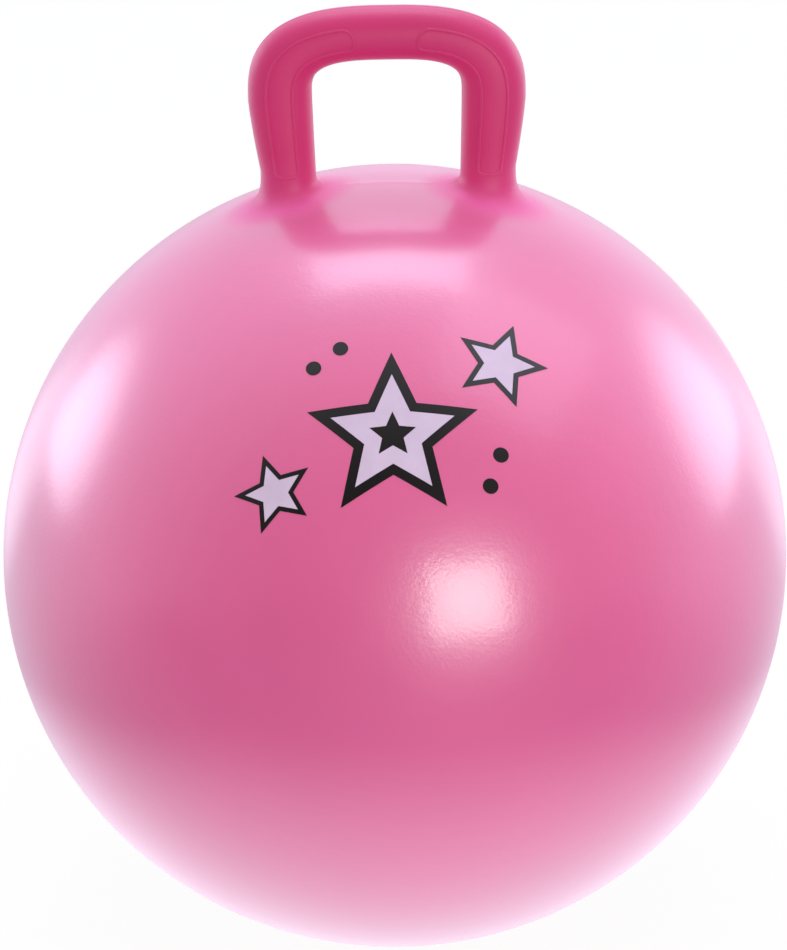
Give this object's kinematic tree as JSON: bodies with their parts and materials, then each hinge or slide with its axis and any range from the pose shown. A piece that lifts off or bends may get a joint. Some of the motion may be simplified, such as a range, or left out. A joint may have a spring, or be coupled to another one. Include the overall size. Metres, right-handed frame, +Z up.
{
  "type": "hopper ball",
  "caption": "Air-filled hopper ball with a moulded loop handle on its crown, a star print on the front and a push-in valve plug at the back.",
  "frame": {"origin": "on the floor, at the middle of the flat that the ball's weight presses under it", "axes": "+Z up through the ball's crown and the handle, X along the handle's bar, the printed front faces -Y and the valve is on the +Y side"},
  "size_m": [0.4499, 0.4499, 0.5454],
  "materials": {
    "skin": "satin soft PVC",
    "handle": "satin soft PVC",
    "valve": "satin soft PVC",
    "plug": "satin PVC",
    "ink_black": "gloss ink",
    "ink_pale": "gloss ink"
  },
  "bodies": {
    "ball": {"ball_skin": "skin", "left_handle_root": "handle", "right_handle_root": "handle", "valve_seat": "valve", "print_black": "ink_black", "print_pale": "ink_pale"},
    "handle": {"handle_loop": "handle"},
    "plug": {"valve_plug": "plug"}
  },
  "joints": [
    {"name": "handle_sway", "type": "hinge", "parent": "ball", "child": "handle", "pos_m": [0, 0, 0.44642], "axis": [1, 0, 0], "range_deg": [-20, 20], "stiffness_Nm_per_rad": 6.5, "deforming": ["left_handle_root", "right_handle_root"]},
    {"name": "plug_pull", "type": "slide", "parent": "ball", "child": "plug", "axis": [0, 0.8192, 0.5736], "range_m": [0, 0.04]}
  ]
}
